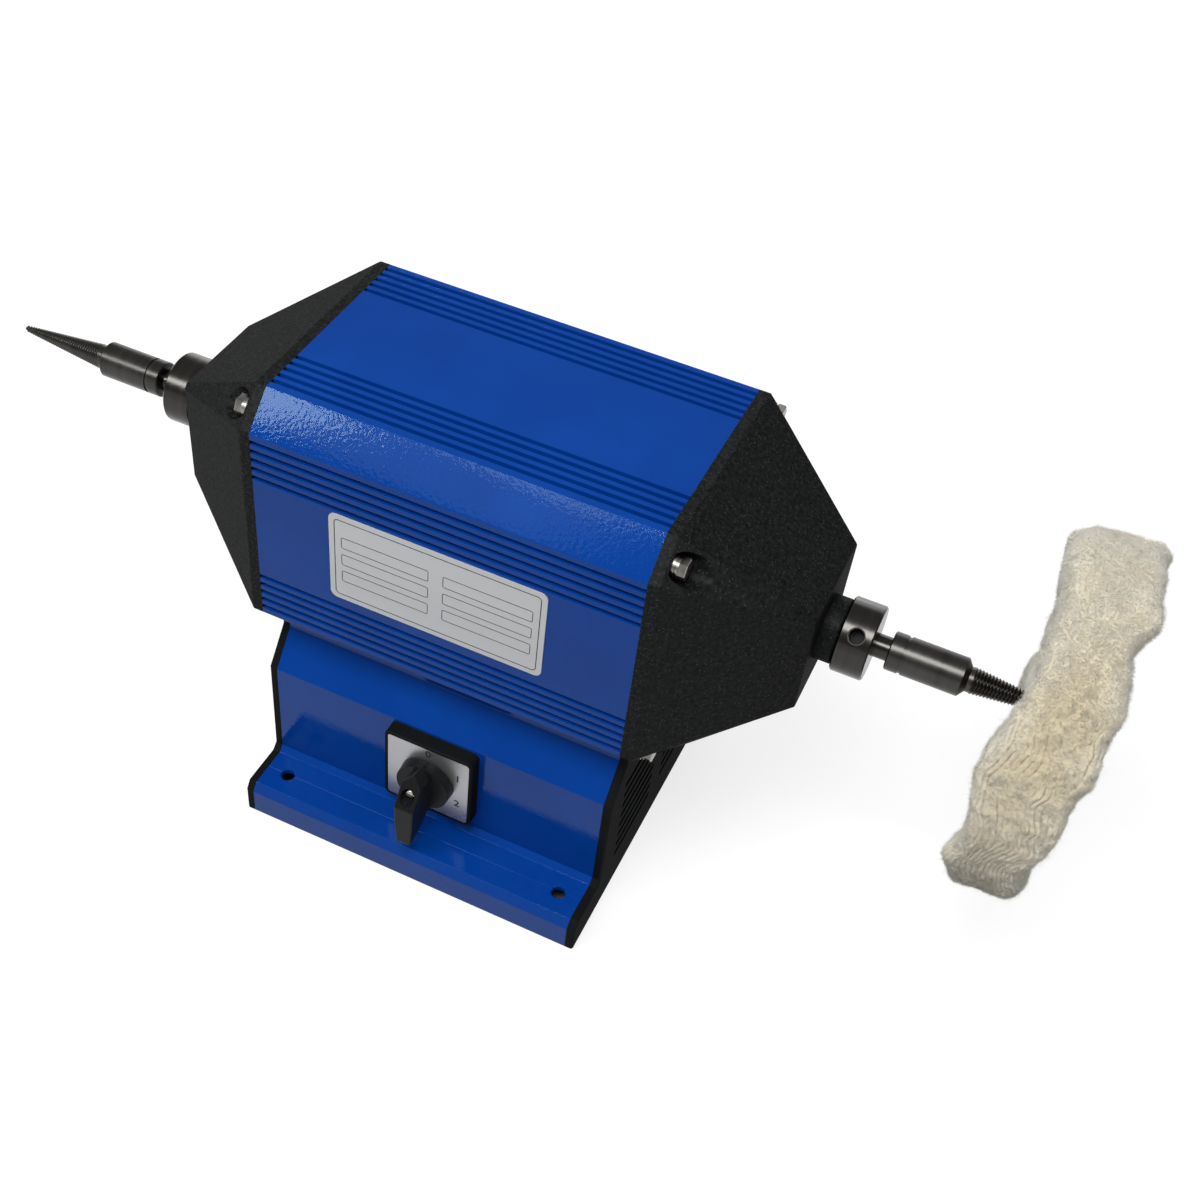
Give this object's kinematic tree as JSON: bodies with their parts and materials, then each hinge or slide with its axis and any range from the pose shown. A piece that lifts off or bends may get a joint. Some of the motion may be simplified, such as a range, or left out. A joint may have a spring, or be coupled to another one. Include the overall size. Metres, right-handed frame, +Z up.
{
  "type": "double head polishing machine",
  "caption": "Bench polishing machine: grooved square motor on a louvred base, a tapered screw spindle at each end of its shaft, a cloth mop on one of them and a rotary switch.",
  "frame": {"origin": "on the bench, under the middle of the base", "axes": "+X along the shaft towards the mop, -Y to the switch and the user, +Z up"},
  "size_m": [0.6342, 0.2262, 0.2955],
  "materials": {
    "blue_coat": "gloss",
    "black_casting": "satin",
    "black_plastic": "matte",
    "silver_plate": "satin",
    "dark_steel": "satin",
    "bearing_steel": "polished",
    "zinc_steel": "satin",
    "core_steel": "satin",
    "copper_wire": "satin",
    "cast_aluminium": "satin",
    "brass": "satin",
    "mop_cotton": "matte",
    "hub_fibre": "matte",
    "inner_plastic": "matte",
    "capacitor_case": "gloss",
    "lead_sleeve": "matte"
  },
  "bodies": {
    "machine_frame": {"motor_housing": "blue_coat", "base_extrusion": "blue_coat", "bench_flanges": "blue_coat", "left_end_bell": "black_casting", "right_end_bell": "black_casting", "left_base_cap": "black_plastic", "right_base_cap": "black_plastic", "switch_frame": "black_plastic", "cable_gland": "black_plastic", "gland_nut": "black_plastic", "rating_plate": "silver_plate", "dial_plate": "silver_plate", "bearing_outer_rings": "bearing_steel", "bearing_washers": "bearing_steel", "bell_bolts": "zinc_steel", "bolt_washers": "zinc_steel", "spring_washers": "zinc_steel", "seat_screws": "zinc_steel", "plate_screws": "zinc_steel", "clamp_screw": "zinc_steel", "earth_screw": "zinc_steel", "switch_screws": "zinc_steel", "capacitor_clamp": "zinc_steel", "bottom_plate": "zinc_steel", "stator_core": "core_steel", "stator_windings": "copper_wire", "terminal_screws": "brass", "terminal_block": "inner_plastic", "switch_body": "inner_plastic", "run_capacitor": "capacitor_case", "motor_leads": "lead_sleeve", "switch_leads": "lead_sleeve", "capacitor_leads": "lead_sleeve", "lead_grommet": "lead_sleeve"},
    "rotor": {"shaft": "dark_steel", "rotor_core": "core_steel", "rotor_end_rings": "cast_aluminium", "bearing_inner_rings": "bearing_steel", "bearing_balls": "bearing_steel", "left_collar": "dark_steel", "right_collar": "dark_steel", "collar_set_screws": "dark_steel", "left_spindle": "dark_steel", "right_spindle": "dark_steel", "spindle_set_screws": "dark_steel", "polishing_mop": "mop_cotton", "mop_discs": "hub_fibre"},
    "knob": {"switch_knob": "black_plastic", "knob_screw": "zinc_steel", "switch_shaft": "zinc_steel"}
  },
  "joints": [
    {"name": "rotor_spin", "type": "hinge", "parent": "machine_frame", "child": "rotor", "pos_m": [0, 0, 0.2005], "axis": [1, 0, 0], "continuous": true},
    {"name": "switch_turn", "type": "hinge", "parent": "machine_frame", "child": "knob", "pos_m": [0, -0.0868, 0.0636], "axis": [0, 1, 0], "range_deg": [0, 120]}
  ]
}
